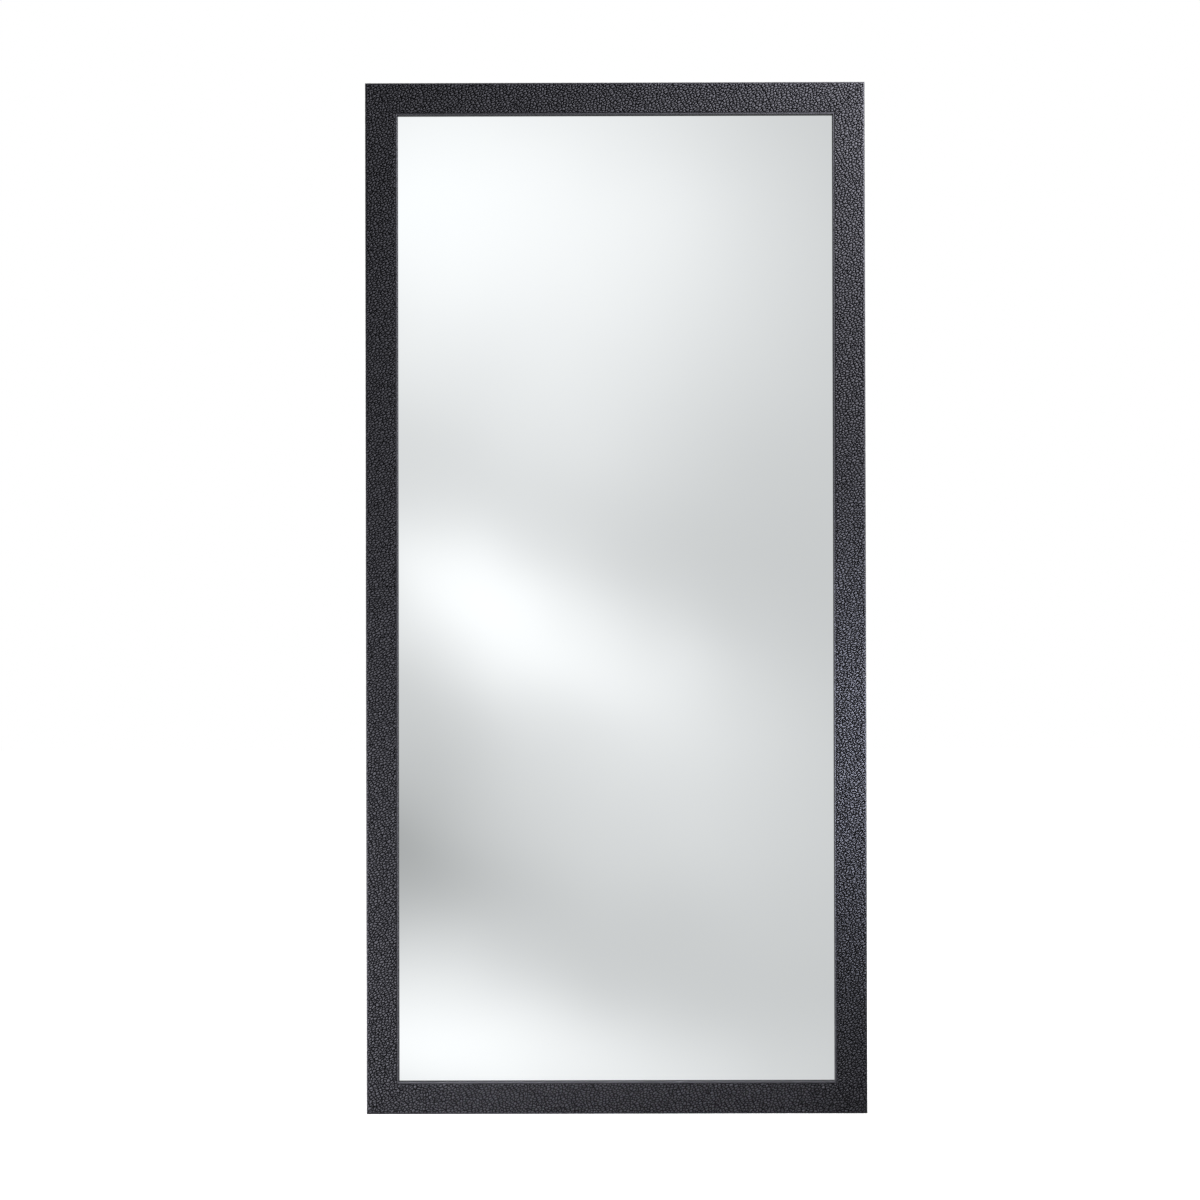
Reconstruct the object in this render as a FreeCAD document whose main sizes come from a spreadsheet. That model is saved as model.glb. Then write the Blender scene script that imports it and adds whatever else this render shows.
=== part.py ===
import FreeCAD, Part
import math
import os
import Sketcher

# A full-length wall mirror: a mitred, rebated moulding in an embossed covering, with the glass,
# its backing and two D-ring hangers. Front faces -Y, +Z is up, and the wall is the plane Y = 0.
# The origin lies on the wall, midway between the hooks, at the height where the rings bear on them.

SIZES = {
    # Frame moulding, outside the covering
    "frame_width": 813.0,
    "frame_height": 1676.0,
    "frame_depth": 27.0,
    "face_width": 52.5,
    "lip_thickness": 7.0,
    "rebate_width": 9.0,
    "core_edge_radius": 1.2,
    # Embossed covering
    "cover_thickness": 1.0,
    "cover_back_return": 9.0,
    # Glazing
    "tape_width": 5.0,
    "tape_thickness": 0.6,
    "tape_inset": 0.5,
    "glass_thickness": 4.0,
    "glass_edge_gap": 3.0,
    "glass_arris": 0.5,
    "silvering_thickness": 0.2,
    "silvering_margin": 0.1,
    "setting_block_length": 80.0,
    "edge_spacer_length": 30.0,
    # Backing
    "filler_thickness": 3.0,
    "back_board_thickness": 3.0,
    "back_board_corner": 4.0,
    "board_edge_gap": 1.0,
    # Framing points
    "point_thickness": 0.8,
    "point_width": 9.0,
    "point_showing": 9.0,
    "point_driven": 7.0,
    "point_taper": 3.0,
    "point_margin": 130.0,
    "point_clearance": 0.1,
    # Corner fasteners
    "nail_thickness": 0.7,
    "nail_leg": 7.0,
    "nail_height": 12.0,
    "nail_recess": 0.5,
    "nail_from_edge": 16.0,
    "nail_spacing": 12.0,
    "nail_clearance": 0.05,
    # Hangers
    "hook_drop": 300.0,
    "strap_width": 15.0,
    "strap_sheet": 1.0,
    "strap_corner": 3.0,
    "strap_tail": 8.0,
    "ring_wire": 3.0,
    "ring_corner": 3.0,
    "ring_leg": 5.0,
    "ring_side_play": 0.5,
    "eye_clearance": 0.3,
    # Hanger screws
    "screw_from_eye": 8.5,
    "screw_spacing": 20.0,
    "screw_shank": 3.5,
    "screw_length": 16.0,
    "screw_tip": 4.0,
    "screw_head": 7.4,
    "screw_head_height": 2.3,
    "screw_head_bevel": 1.2,
    "screw_hole_clearance": 0.25,
    "screw_pilot_clearance": 0.05,
    # Wall bumpers
    "bumper_diameter": 19.0,
    "bumper_bevel": 1.0,
    "bumper_wall_gap": 0.4,
    "bumper_from_end": 70.0,
    # How far a cut runs past the solid
    "overrun": 5.0,
}
POINTS_PER_RAIL = 3
POINTS_PER_STILE = 6
RING_WIRE_FLATS = 8
SETTING_BLOCK_SPOT_SHARE = 0.25
EDGE_SPACER_SPOT_SHARE = 0.35
TURNED_ROUND_SHARE = 0.8

DOC = FreeCAD.newDocument("full_length_mirror")
ALONG = FreeCAD.Vector(1, 0, 0)
DEEP = FreeCAD.Vector(0, 1, 0)
SKETCH_NORMAL = FreeCAD.Vector(0, 0, 1)
# Least difference, as a share of the frame's height, by which two places count as apart
APART_SHARE = 1e-7


class Size:
    """A length from the sheet, or worked out from such lengths: its value and its expression."""

    def __init__(self, value, text):
        self.value = value
        self.text = text

    def __add__(self, other):
        return Size(self.value + other.value, f"({self.text} + {other.text})")

    def __sub__(self, other):
        return Size(self.value - other.value, f"({self.text} - {other.text})")

    def __neg__(self):
        return Size(-self.value, f"(-1 * {self.text})")

    def __mul__(self, share):
        return Size(self.value * share, f"({self.text} * {share})")

    def __truediv__(self, share):
        return Size(self.value / share, f"({self.text} / {share})")


def write_sheet():
    """Writes every driving size to the sheet, one aliased cell each."""
    sheet = DOC.addObject("Spreadsheet::Sheet", "Sizes")
    for row, (name, value) in enumerate(SIZES.items(), start=1):
        sheet.set(f"A{row}", name)
        sheet.set(f"B{row}", str(value))
        sheet.setAlias(f"B{row}", name)
    DOC.recompute()
    return {name: Size(value, f"Sizes.{name}") for name, value in SIZES.items()}


S = write_sheet()
ZERO = Size(0.0, "0")

# Sizes that follow from the sheet. A rail's own frame has x along the rail, y = 0 on the back of
# the core with the front at -y, and z = 0 on the frame's outer edge with the opening at -z.
COVER = S["cover_thickness"]
CORE_DEPTH = S["frame_depth"] - COVER
CORE_INNER = S["face_width"] - COVER
REBATE_WALL = CORE_INNER - S["rebate_width"]
REBATE_FLOOR = CORE_DEPTH - S["lip_thickness"]
GLASS_FRONT = REBATE_FLOOR - COVER - S["tape_thickness"]
GLASS_BACK = GLASS_FRONT - S["glass_thickness"]
FILLER_FRONT = GLASS_BACK - S["silvering_thickness"]
BOARD_FRONT = FILLER_FRONT - S["filler_thickness"]
BOARD_BACK = BOARD_FRONT - S["back_board_thickness"]
COVER_FLOOR_RETURN = S["tape_width"] + S["tape_inset"] * 2

EYE_INNER = S["ring_wire"] / 2 + S["eye_clearance"]
EYE_OUTER = EYE_INNER + S["strap_sheet"]
STRAP_THICKNESS = S["strap_sheet"] * 2
RING_HALF_WIDTH = S["strap_width"] / 2 + S["ring_side_play"] + S["ring_corner"]
RING_REACH = S["ring_leg"] + RING_HALF_WIDTH
BUMPER_HEIGHT = EYE_OUTER * 2 + S["bumper_wall_gap"]

# Places in the part's frame
TOP = S["hook_drop"]
BOTTOM = S["hook_drop"] - S["frame_height"]
MIDDLE = S["hook_drop"] - S["frame_height"] / 2
HALF_WIDTH = S["frame_width"] / 2
BACK = -BUMPER_HEIGHT
EYE_HEIGHT = S["ring_wire"] / 2 - RING_REACH
HARDWARE_LINE = (S["cover_back_return"] + REBATE_WALL) / 2
HARDWARE_ACROSS = HALF_WIDTH - HARDWARE_LINE
REBATE_OPENING_WIDTH = S["frame_width"] - REBATE_WALL * 2
REBATE_OPENING_HEIGHT = S["frame_height"] - REBATE_WALL * 2

# Each side of the frame: its name, length, turn about Y, and the middle of its outer edge
SIDES = (
    ("top_rail", S["frame_width"], 0, (ZERO, BACK, TOP)),
    ("right_stile", S["frame_height"], 90, (HALF_WIDTH, BACK, MIDDLE)),
    ("bottom_rail", S["frame_width"], 180, (ZERO, BACK, BOTTOM)),
    ("left_stile", S["frame_height"], 270, (-HALF_WIDTH, BACK, MIDDLE)),
)

PIECES = []


def place(item, where, turn=0):
    """Puts an object at three sizes, turned by so many degrees about Y."""
    item.Placement = FreeCAD.Placement(FreeCAD.Vector(), FreeCAD.Rotation(DEEP, turn))
    for axis, distance in zip("xyz", where):
        item.setExpression(f"Placement.Base.{axis}", distance.text)


def new_body(label):
    body = DOC.addObject("PartDesign::Body", label)
    body.Label = label
    return body


def origin_of(body, role):
    return next(item for item in body.Origin.OriginFeatures if item.Role == role)


def new_sketch(body, name, role, depth=ZERO):
    """A sketch on one of the body's own planes, or so deep along that plane's normal."""
    sketch = body.newObject("Sketcher::SketchObject", f"{body.Label}_{name}")
    sketch.AttachmentSupport = (origin_of(body, role), [""])
    sketch.MapMode = "FlatFace"
    sketch.setExpression("AttachmentOffset.Base.z", depth.text)
    return sketch


def limit(sketch, kind, distance, *places):
    """Adds a constraint whose value is bound to the sheet."""
    index = sketch.addConstraint(Sketcher.Constraint(kind, *places, distance.value))
    sketch.setExpression(f"Constraints[{index}]", distance.text)


def fix_point(sketch, line, end, across, up):
    limit(sketch, "DistanceX", across, -1, 1, line, end)
    limit(sketch, "DistanceY", up, -1, 1, line, end)


def polygon(sketch, points):
    """Draws a closed outline through points given as pairs of sizes."""
    first = sketch.GeometryCount
    corners = [FreeCAD.Vector(across.value, up.value, 0) for across, up in points]
    for start, end in zip(corners, corners[1:] + corners[:1]):
        sketch.addGeometry(Part.LineSegment(start, end))
    for number, (across, up) in enumerate(points):
        following = first + (number + 1) % len(points)
        sketch.addConstraint(Sketcher.Constraint("Coincident", first + number, 2, following, 1))
        fix_point(sketch, first + number, 1, across, up)


def rectangle(sketch, left, right, low, high):
    polygon(sketch, [(left, low), (right, low), (right, high), (left, high)])


def circle(sketch, across, up, diameter):
    centre = FreeCAD.Vector(across.value, up.value, 0)
    number = sketch.addGeometry(Part.Circle(centre, SKETCH_NORMAL, diameter.value / 2))
    limit(sketch, "Diameter", diameter, number)
    fix_point(sketch, number, 3, across, up)


def feature(body, kind, name, sketch, length=None, both_ways=False, backwards=False):
    """A pad or a pocket of a sketch; with no length it goes through all."""
    made = body.newObject(f"PartDesign::{kind}", f"{body.Label}_{name}")
    made.Profile = sketch
    made.SideType = "Symmetric" if both_ways else "One side"
    made.Reversed = backwards
    if length is None:
        made.Type = "ThroughAll"
    else:
        made.setExpression("Length", length.text)
    DOC.recompute()
    return made


def revolve(body, sketch):
    """Turns a sketch on the XY plane once round the Y axis."""
    made = body.newObject("PartDesign::Revolution", f"{body.Label}_turning")
    made.Profile = sketch
    made.ReferenceAxis = (sketch, ["V_Axis"])
    made.Angle = 360
    DOC.recompute()
    return made


def edges_through(shape, along, spots):
    """Names the straight edges that run along a direction through the given spots."""
    slack = S["frame_height"].value * APART_SHARE
    names = []
    for number, edge in enumerate(shape.Edges, start=1):
        if edge.Curve.TypeId != "Part::GeomLine":
            continue
        ends = [vertex.Point for vertex in edge.Vertexes]
        for spot in spots:
            if all((end - spot).cross(along).Length < slack for end in ends):
                names.append(f"Edge{number}")
    return names


def rim_at(shape, depth):
    """Names the round edge of a turned solid that lies so deep."""
    slack = S["frame_height"].value * APART_SHARE
    return [
        f"Edge{number}"
        for number, edge in enumerate(shape.Edges, start=1)
        if edge.Curve.TypeId == "Part::GeomCircle" and abs(edge.Curve.Center.y - depth.value) < slack
    ]


def ease(body, kind, name, edges, amount):
    """Rounds (Fillet) or bevels (Chamfer) named edges of the body's last feature."""
    made = body.newObject(f"PartDesign::{kind}", f"{body.Label}_{name}")
    made.Base = (made.BaseFeature, edges)
    made.setExpression("Radius" if kind == "Fillet" else "Size", amount.text)
    DOC.recompute()
    return made


def round_section(body, name, corners, radius):
    """Rounds the long edges of a moulding that stand over the given corners of its section."""
    spots = [FreeCAD.Vector(0, depth.value, height.value) for depth, height in corners]
    edges = edges_through(body.Tip.Shape, ALONG, spots)
    ease(body, "Fillet", name, edges, radius)


def keep(item, label):
    item.Label = label
    PIECES.append(item)


def mitre(body, length):
    """Cuts both ends of a moulding at 45 degrees, from the outer edge in."""
    sketch = new_sketch(body, "mitre", "XZ_Plane")
    over = S["overrun"]
    deep = S["face_width"] + over
    end = length / 2
    for far, tip, root in (
        (end + over, end + over, end - deep),
        (-end - over, -end - over, deep - end),
    ):
        polygon(sketch, [(tip, over), (root, -deep), (far, -deep)])
    feature(body, "Pocket", "mitre_cut", sketch, both_ways=True)


def moulding(label, length, section):
    """A body with a section padded along x."""
    body = new_body(label)
    sketch = new_sketch(body, "section", "YZ_Plane")
    polygon(sketch, section)
    feature(body, "Pad", "length", sketch, length, both_ways=True)
    return body


def nail_slots(body, length):
    """Slots in the back of a core, at both mitres, for its half of each V-nail."""
    sketch = new_sketch(body, "nail_slot", "XZ_Plane")
    half = S["nail_thickness"] / 2 + S["nail_clearance"]
    for inward in (S["nail_from_edge"], S["nail_from_edge"] + S["nail_spacing"]):
        near = length / 2 - inward + half
        far = length / 2 - inward - S["nail_leg"] - S["nail_clearance"]
        rectangle(sketch, far, near, -inward - half, half - inward)
        rectangle(sketch, -near, -far, -inward - half, half - inward)
    depth = S["nail_recess"] + S["nail_height"] + S["nail_clearance"]
    feature(body, "Pocket", "nail_slots", sketch, depth, backwards=True)


def point_outline(sketch, across, room):
    """A framing point seen from the back: a flat plate with a tapered end driven into the core."""
    half = S["point_width"] / 2 + room
    shoulder = S["point_driven"] - S["point_taper"] - REBATE_WALL
    tip = S["point_driven"] - REBATE_WALL + room
    nose = half - S["point_taper"]
    low = -REBATE_WALL - S["point_showing"]
    polygon(sketch, [
        (across - half, low),
        (across + half, low),
        (across + half, shoulder),
        (across + nose, tip),
        (across - nose, tip),
        (across - half, shoulder),
    ])


def point_places(length, count):
    """Places along a side, evenly spaced between margins from its rebate's ends."""
    reach = length / 2 - REBATE_WALL - S["point_margin"]
    return [reach * (2 * number / (count - 1) - 1) for number in range(count)]


def point_slots(body, length, count):
    """Slots in the rebate's wall for the framing points."""
    sketch = new_sketch(body, "point_slot", "XZ_Plane", BOARD_BACK + S["point_clearance"])
    for across in point_places(length, count):
        point_outline(sketch, across, S["point_clearance"])
    depth = S["point_thickness"] + S["point_clearance"] * 2
    feature(body, "Pocket", "point_slots", sketch, depth)


def screw_heights():
    first = EYE_HEIGHT - S["screw_from_eye"]
    return first, first - S["screw_spacing"]


def pilot_holes(body, turn):
    """Holes in a stile for the hanger's screws."""
    sketch = new_sketch(body, "pilot", "XZ_Plane")
    for height in screw_heights():
        along = MIDDLE - height if turn == 90 else height - MIDDLE
        circle(sketch, along, -HARDWARE_LINE, S["screw_shank"] + S["screw_pilot_clearance"] * 2)
    depth = S["screw_length"] - STRAP_THICKNESS + S["screw_pilot_clearance"]
    feature(body, "Pocket", "pilot_holes", sketch, depth, backwards=True)


def make_core(name, length, turn, where):
    """The rebated moulding under the covering."""
    front_corners = [(-CORE_DEPTH, -COVER), (-CORE_DEPTH, -CORE_INNER)]
    section = [
        (ZERO, -COVER),
        *front_corners,
        (-REBATE_FLOOR, -CORE_INNER),
        (-REBATE_FLOOR, -REBATE_WALL),
        (ZERO, -REBATE_WALL),
    ]
    body = moulding(f"{name}_core", length, section)
    round_section(body, "front_round", front_corners, S["core_edge_radius"])
    mitre(body, length)
    nail_slots(body, length)
    upright = turn in (90, 270)
    point_slots(body, length, POINTS_PER_STILE if upright else POINTS_PER_RAIL)
    if upright:
        pilot_holes(body, turn)
    place(body, where, turn)
    keep(body, f"{name}_core")


def make_cover(name, length, turn, where):
    """The embossed covering: wrapped round the core, and turned over on its back and its lip."""
    front = [(-S["frame_depth"], ZERO), (-S["frame_depth"], -S["face_width"])]
    front_inside = [(-CORE_DEPTH, -CORE_INNER), (-CORE_DEPTH, -COVER)]
    turns = [(COVER, ZERO), (COVER - REBATE_FLOOR, -S["face_width"])]
    floor_end = COVER_FLOOR_RETURN - S["face_width"]
    section = [
        (COVER, -S["cover_back_return"]),
        turns[0],
        *front,
        turns[1],
        (COVER - REBATE_FLOOR, floor_end),
        (-REBATE_FLOOR, floor_end),
        (-REBATE_FLOOR, -CORE_INNER),
        *front_inside,
        (ZERO, -COVER),
        (ZERO, -S["cover_back_return"]),
    ]
    body = moulding(f"{name}_cover", length, section)
    round_section(body, "front_round", front, S["core_edge_radius"] + COVER)
    round_section(body, "inner_round", front_inside, S["core_edge_radius"])
    round_section(body, "turned_round", turns, COVER * TURNED_ROUND_SHARE)
    mitre(body, length)
    place(body, where, turn)
    keep(body, f"{name}_cover")


def box(label, centre_across, low, front, width, depth, height):
    """A plain block, centred across, with its front face so far in front of the core's back."""
    block = DOC.addObject("Part::Box", label)
    for name, amount in (("Length", width), ("Width", depth), ("Height", height)):
        block.setExpression(name, amount.text)
    place(block, (centre_across - width / 2, BACK - front, low))
    return block


def make_tapes():
    """The cushion tape between the lip and the glass, along all four sides."""
    thick = S["tape_thickness"]
    wide = S["tape_width"]
    edge = S["face_width"] - S["tape_inset"] - wide
    front = GLASS_FRONT + thick
    across = S["frame_width"] - edge * 2
    upright = S["frame_height"] - edge * 2 - wide * 2
    middle = HALF_WIDTH - edge - wide / 2
    low = BOTTOM + edge
    for name, centre, start, width, height in (
        ("top", ZERO, TOP - edge - wide, across, wide),
        ("bottom", ZERO, low, across, wide),
        ("left", -middle, low + wide, wide, upright),
        ("right", middle, low + wide, wide, upright),
    ):
        label = f"glazing_tape_{name}"
        keep(box(label, centre, start, front, width, thick, height), label)


def glass_size():
    gap = S["glass_edge_gap"] * 2
    return REBATE_OPENING_WIDTH - gap, REBATE_OPENING_HEIGHT - gap


def make_glass():
    """The sheet of glass, with its sharp edges taken off, and the silvering on its back."""
    width, height = glass_size()
    body = new_body("mirror_glass")
    sketch = new_sketch(body, "outline", "XZ_Plane", GLASS_BACK)
    rectangle(sketch, -width / 2, width / 2, -height / 2, height / 2)
    feature(body, "Pad", "sheet", sketch, S["glass_thickness"])
    faces = [
        f"Face{number}"
        for number, face in enumerate(body.Tip.Shape.Faces, start=1)
        if face.normalAt(0, 0).isEqual(DEEP, APART_SHARE) or face.normalAt(0, 0).isEqual(-DEEP, APART_SHARE)
    ]
    ease(body, "Chamfer", "arris", faces, S["glass_arris"])
    place(body, (ZERO, BACK, MIDDLE))
    keep(body, "mirror_glass")

    inset = (S["glass_arris"] + S["silvering_margin"]) * 2
    silver_width = width - inset
    silver_height = height - inset
    silvering = box(
        "mirror_silvering",
        ZERO,
        MIDDLE - silver_height / 2,
        GLASS_BACK,
        silver_width,
        S["silvering_thickness"],
        silver_height,
    )
    keep(silvering, "mirror_silvering")


def group(label, members):
    """Several separate solids in one node."""
    made = DOC.addObject("Part::Compound", label)
    made.Links = members
    keep(made, label)


def make_glass_blocks():
    """Blocks under the glass, and spacers at its sides and top, all as thick as the glass."""
    width, height = glass_size()
    gap = S["glass_edge_gap"]
    thick = S["glass_thickness"]
    front = GLASS_FRONT
    block = S["setting_block_length"]
    low = MIDDLE - height / 2 - gap
    blocks = [
        box("setting_block", width * share, low, front, block, thick, gap)
        for share in (-SETTING_BLOCK_SPOT_SHARE, SETTING_BLOCK_SPOT_SHARE)
    ]
    group("setting_blocks", blocks)

    spacer = S["edge_spacer_length"]
    beside = width / 2 + gap / 2
    spacers = []
    for share in (-EDGE_SPACER_SPOT_SHARE, EDGE_SPACER_SPOT_SHARE):
        spacers.append(box("spacer", width * share, MIDDLE + height / 2, front, spacer, thick, gap))
        for across in (-beside, beside):
            start = MIDDLE + height * share - spacer / 2
            spacers.append(box("spacer", across, start, front, gap, thick, spacer))
    group("edge_spacers", spacers)


def make_boards():
    """The card behind the silvering, and the hardboard back with its corners taken off."""
    gap = S["board_edge_gap"] * 2
    width = REBATE_OPENING_WIDTH - gap
    height = REBATE_OPENING_HEIGHT - gap
    low = MIDDLE - height / 2
    filler = box("filler_board", ZERO, low, FILLER_FRONT, width, S["filler_thickness"], height)
    keep(filler, "filler_board")

    body = new_body("back_board")
    sketch = new_sketch(body, "outline", "XZ_Plane", BOARD_BACK)
    rectangle(sketch, -width / 2, width / 2, -height / 2, height / 2)
    feature(body, "Pad", "sheet", sketch, S["back_board_thickness"])
    spots = [
        FreeCAD.Vector(side * width.value / 2, 0, end * height.value / 2)
        for side in (-1, 1)
        for end in (-1, 1)
    ]
    ease(body, "Chamfer", "corners", edges_through(body.Tip.Shape, DEEP, spots), S["back_board_corner"])
    place(body, (ZERO, BACK, MIDDLE))
    keep(body, "back_board")


def copy_to(source, label, where, turn=0):
    copy = DOC.addObject("App::Link", label)
    copy.LinkedObject = source
    place(copy, where, turn)
    return copy


def make_framing_points():
    """Flat steel points, driven through the rebate's wall so that they lie on the back board."""
    master = new_body("framing_point")
    sketch = new_sketch(master, "outline", "XZ_Plane", BOARD_BACK)
    point_outline(sketch, ZERO, ZERO)
    feature(master, "Pad", "plate", sketch, S["point_thickness"], backwards=True)
    copies = []
    for name, length, turn, (across, depth, height) in SIDES:
        upright = turn in (90, 270)
        for along in point_places(length, POINTS_PER_STILE if upright else POINTS_PER_RAIL):
            spot = (across, depth, height + along) if upright else (across + along, depth, height)
            copies.append(copy_to(master, f"{name}_point", spot, turn))
    group("framing_points", copies)


def make_v_nails():
    """Two V-nails across the back of each mitre, one leg in each of the two cores."""
    half = S["nail_thickness"] / 2
    leg = S["nail_leg"]
    copies = []
    for name, inward in (
        ("outer_nail", S["nail_from_edge"]),
        ("inner_nail", S["nail_from_edge"] + S["nail_spacing"]),
    ):
        master = new_body(name)
        sketch = new_sketch(master, "outline", "XZ_Plane", S["nail_recess"])
        near = half - inward
        bend = -inward - half
        far = -inward - leg
        polygon(sketch, [(far, near), (near, near), (near, far), (bend, far), (bend, bend), (far, bend)])
        feature(master, "Pad", "strip", sketch, S["nail_height"])
        for turn, across, height in (
            (0, HALF_WIDTH, TOP),
            (90, HALF_WIDTH, BOTTOM),
            (180, -HALF_WIDTH, BOTTOM),
            (270, -HALF_WIDTH, TOP),
        ):
            copies.append(copy_to(master, f"{name}_copy", (across, BACK, height), turn))
    group("v_nails", copies)


def make_strap(side, where):
    """A strip of steel folded round the ring's bar into an eye, with both leaves screwed down."""
    label = f"hanger_strap_{side}"
    body = new_body(label)
    length = S["screw_from_eye"] + S["screw_spacing"] + S["strap_tail"]
    leaves = new_sketch(body, "leaves", "YZ_Plane")
    rectangle(leaves, ZERO, STRAP_THICKNESS, -length, ZERO)
    feature(body, "Pad", "plate", leaves, S["strap_width"], both_ways=True)
    half = S["strap_width"].value / 2
    tail = [FreeCAD.Vector(edge * half, 0, -length.value) for edge in (-1, 1)]
    ease(body, "Fillet", "tail", edges_through(body.Tip.Shape, DEEP, tail), S["strap_corner"])
    roll = new_sketch(body, "roll", "YZ_Plane")
    circle(roll, EYE_OUTER, ZERO, EYE_OUTER * 2)
    feature(body, "Pad", "eye", roll, S["strap_width"], both_ways=True)
    bore = new_sketch(body, "bore", "YZ_Plane")
    circle(bore, EYE_OUTER, ZERO, EYE_INNER * 2)
    feature(body, "Pocket", "eye_bore", bore, both_ways=True)
    holes = new_sketch(body, "holes", "XZ_Plane")
    for drop in (S["screw_from_eye"], S["screw_from_eye"] + S["screw_spacing"]):
        circle(holes, ZERO, -drop, S["screw_shank"] + S["screw_hole_clearance"] * 2)
    feature(body, "Pocket", "screw_holes", holes, STRAP_THICKNESS + S["overrun"])
    place(body, where)
    keep(body, label)


def make_ring(side, where):
    """A D-ring of wire, round but for narrow flats: a bar in the eye, two legs and a half-round bow."""
    label = f"hanger_ring_{side}"
    body = new_body(label)
    path = new_sketch(body, "path", "XZ_Plane")
    half = RING_HALF_WIDTH.value
    corner = S["ring_corner"].value
    leg = S["ring_leg"].value
    bar = half - corner
    quarter = math.pi / 2

    def arc(across, height, radius, start, turns):
        whole = Part.Circle(FreeCAD.Vector(across, height, 0), SKETCH_NORMAL, radius)
        path.addGeometry(Part.ArcOfCircle(whole, start * quarter, (start + turns) * quarter))

    def line(x_start, z_start, x_end, z_end):
        start = FreeCAD.Vector(x_start, z_start, 0)
        path.addGeometry(Part.LineSegment(start, FreeCAD.Vector(x_end, z_end, 0)))

    line(-bar, 0, bar, 0)
    arc(bar, corner, corner, -1, 1)
    line(half, corner, half, leg)
    arc(0, leg, half, 0, 2)
    line(-half, leg, -half, corner)
    arc(-bar, corner, corner, 2, 1)
    for number in range(6):
        path.addConstraint(Sketcher.Constraint("Tangent", number, 2, (number + 1) % 6, 1))
    path.addConstraint(Sketcher.Constraint("Horizontal", 0))
    path.addConstraint(Sketcher.Constraint("Vertical", 2))
    path.addConstraint(Sketcher.Constraint("Vertical", 4))
    path.addConstraint(Sketcher.Constraint("PointOnObject", 0, 1, -1))
    path.addConstraint(Sketcher.Constraint("PointOnObject", 3, 3, -2))
    limit(path, "Radius", S["ring_corner"], 1)
    limit(path, "Radius", S["ring_corner"], 5)
    limit(path, "Radius", RING_HALF_WIDTH, 3)
    limit(path, "DistanceY", S["ring_leg"], -1, 1, 3, 3)
    wire = new_sketch(body, "wire", "YZ_Plane")
    flats = [(2 * number + 1) * math.pi / RING_WIRE_FLATS for number in range(RING_WIRE_FLATS)]
    radius = S["ring_wire"] / 2
    polygon(wire, [(radius * math.cos(angle), radius * math.sin(angle)) for angle in flats])
    DOC.recompute()
    bow = body.newObject("PartDesign::AdditivePipe", f"{label}_bow")
    bow.Profile = wire
    bow.Spine = (path, [])
    DOC.recompute()
    across, depth, height = where
    place(body, (across, depth + EYE_OUTER, height))
    keep(body, label)


def make_screws(places):
    """Pan-head screws that hold the straps, modelled plain."""
    master = new_body("hanger_screw")
    sketch = new_sketch(master, "profile", "XY_Plane")
    shank = S["screw_shank"] / 2
    head = S["screw_head"] / 2
    tip = STRAP_THICKNESS - S["screw_length"]
    top = STRAP_THICKNESS + S["screw_head_height"]
    polygon(sketch, [
        (ZERO, tip),
        (shank, tip + S["screw_tip"]),
        (shank, STRAP_THICKNESS),
        (head, STRAP_THICKNESS),
        (head, top),
        (ZERO, top),
    ])
    made = revolve(master, sketch)
    ease(master, "Chamfer", "pan", rim_at(made.Shape, top), S["screw_head_bevel"])
    group("hanger_screws", [copy_to(master, "screw", spot) for spot in places])


def make_hangers():
    """Both hangers, the same on each stile, and their screws."""
    screws = []
    for side, across in (("left", -HARDWARE_ACROSS), ("right", HARDWARE_ACROSS)):
        where = (across, BACK, EYE_HEIGHT)
        make_strap(side, where)
        make_ring(side, where)
        screws.extend((across, BACK, height) for height in screw_heights())
    make_screws(screws)


def make_bumpers():
    """Four rubber bumpers near the corners, as high as the hangers need."""
    inward = S["bumper_from_end"]
    for end, height in (("top", TOP - inward), ("bottom", BOTTOM + inward)):
        for side, across in (("left", -HARDWARE_ACROSS), ("right", HARDWARE_ACROSS)):
            label = f"wall_bumper_{end}_{side}"
            body = new_body(label)
            sketch = new_sketch(body, "profile", "XY_Plane")
            rectangle(sketch, ZERO, S["bumper_diameter"] / 2, ZERO, BUMPER_HEIGHT)
            made = revolve(body, sketch)
            ease(body, "Chamfer", "rim", rim_at(made.Shape, BUMPER_HEIGHT), S["bumper_bevel"])
            place(body, (across, BACK, height))
            keep(body, label)


def write_pieces():
    """Checks every object of the document, then writes each piece to its own file."""
    DOC.recompute()
    for item in DOC.Objects:
        if "Invalid" in item.State or "Error" in item.State:
            raise RuntimeError(f"{item.Label} failed: {item.State}")
    for piece in PIECES:
        if piece.Shape.isNull() or not piece.Shape.isValid():
            raise RuntimeError(f"{piece.Label} has no valid shape")
    os.makedirs("parts", exist_ok=True)
    for piece in PIECES:
        piece.Shape.exportStep(f"parts/{piece.Label}.step")
        print(piece.Label, len(piece.Shape.Solids), round(piece.Shape.Volume, 2))


for side_of_frame in SIDES:
    make_core(*side_of_frame)
    make_cover(*side_of_frame)
make_tapes()
make_glass()
make_glass_blocks()
make_boards()
make_framing_points()
make_v_nails()
make_hangers()
make_bumpers()
write_pieces()
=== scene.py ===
import math

import bmesh
import bpy
from mathutils import Matrix, Vector


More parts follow.
